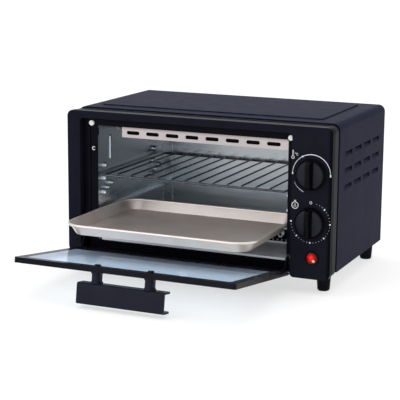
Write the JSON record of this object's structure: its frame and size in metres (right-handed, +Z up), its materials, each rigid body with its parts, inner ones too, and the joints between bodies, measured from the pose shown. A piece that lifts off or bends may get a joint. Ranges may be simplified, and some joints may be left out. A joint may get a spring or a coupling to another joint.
{
  "type": "toaster oven",
  "caption": "Countertop toaster oven with a drop-down glass door, a sliding baking tray, a wire rack, front dials and a pilot lamp.",
  "frame": {"origin": "centre of the body's footprint, on the plane that the feet stand on", "axes": "+X to the right seen from the front, +Y to the rear, +Z up; the door opens towards -Y"},
  "size_m": [0.365, 0.4036, 0.2124],
  "materials": {
    "case_paint": "satin, slightly textured",
    "bezel_plastic": "satin black",
    "chassis_paint": "satin black",
    "door_paint": "satin black",
    "liner_steel": "bare sheet, soft reflections",
    "bright_steel": "bright zinc plate",
    "tray_metal": "satin with a bright rolled rim",
    "rack_chrome": "bright plate",
    "element_sheath": "oxidised steel tube",
    "ceramic": "unglazed ceramic",
    "nylon_white": "moulded nylon",
    "bumper_white": "moulded",
    "bell_metal": "dull",
    "wire_insulation": "silicone sleeve",
    "lamp_red": "clear red",
    "foot_plastic": "glossy black",
    "door_glass": "tempered, clear",
    "gasket_rubber": "soft black",
    "handle_plastic": "satin black",
    "knob_plastic": "satin black"
  },
  "bodies": {
    "cabinet": {"outer_case": "case_paint", "front_bezel": "bezel_plastic", "front_chassis": "chassis_paint", "bottom_panel": "liner_steel", "back_panel": "liner_steel", "cavity_left_wall": "liner_steel", "cavity_right_wall": "liner_steel", "cavity_ceiling": "liner_steel", "cavity_rear_wall": "liner_steel", "cavity_floor": "liner_steel", "cavity_stays": "liner_steel", "crumb_tray": "tray_metal", "tray_rails": "liner_steel", "top_reflector": "bright_steel", "reflector_backing": "chassis_paint", "lower_reflector": "chassis_paint", "upper_elements": "element_sheath", "lower_elements": "element_sheath", "element_bushes": "ceramic", "element_terminals": "bright_steel", "element_supports": "bright_steel", "control_baffle": "liner_steel", "thermostat_body": "ceramic", "timer_body": "bright_steel", "timer_bell": "bell_metal", "lamp_lens": "lamp_red", "lamp_holder": "nylon_white", "terminal_block": "nylon_white", "wiring": "wire_insulation", "control_screws": "bright_steel", "door_bumpers": "bumper_white", "door_catch": "bright_steel", "hinge_brackets": "chassis_paint", "hinge_pins": "bright_steel", "door_springs": "bright_steel", "feet": "foot_plastic", "foot_screws": "bright_steel", "back_screws": "bright_steel", "cord_gland": "foot_plastic"},
    "door": {"door_frame": "door_paint", "door_glass": "door_glass", "glass_gasket": "gasket_rubber", "door_arms": "chassis_paint", "handle_bar": "handle_plastic", "handle_posts": "handle_plastic", "handle_screws": "bright_steel"},
    "tray": {"baking_tray": "tray_metal"},
    "rack": {"wire_rack": "rack_chrome"},
    "thermostat_dial": {"thermostat_knob": "knob_plastic", "thermostat_shaft": "bright_steel"},
    "timer_dial": {"timer_knob": "knob_plastic", "timer_shaft": "bright_steel"}
  },
  "joints": [
    {"name": "door_hinge", "type": "hinge", "parent": "cabinet", "child": "door", "pos_m": [-0.018, -0.108, 0.0245], "axis": [-1, 0, 0], "range_deg": [0, 81.8], "deforming": ["door_springs"]},
    {"name": "tray_slide", "type": "slide", "parent": "cabinet", "child": "tray", "axis": [0, 1, 0], "range_m": [0, 0.125]},
    {"name": "rack_slide", "type": "slide", "parent": "cabinet", "child": "rack", "axis": [0, -1, 0], "range_m": [-0.004, 0.005]},
    {"name": "thermostat_turn", "type": "hinge", "parent": "cabinet", "child": "thermostat_dial", "pos_m": [0.156, -0.112, 0.1517], "axis": [0, 1, 0], "range_deg": [-90, 90]},
    {"name": "timer_turn", "type": "hinge", "parent": "cabinet", "child": "timer_dial", "pos_m": [0.156, -0.112, 0.0914], "axis": [0, 1, 0], "range_deg": [0, 270]}
  ],
  "couplings": [
    {"joint": "tray_slide", "follows": "door_hinge", "m_per_rad": 0.08755}
  ]
}
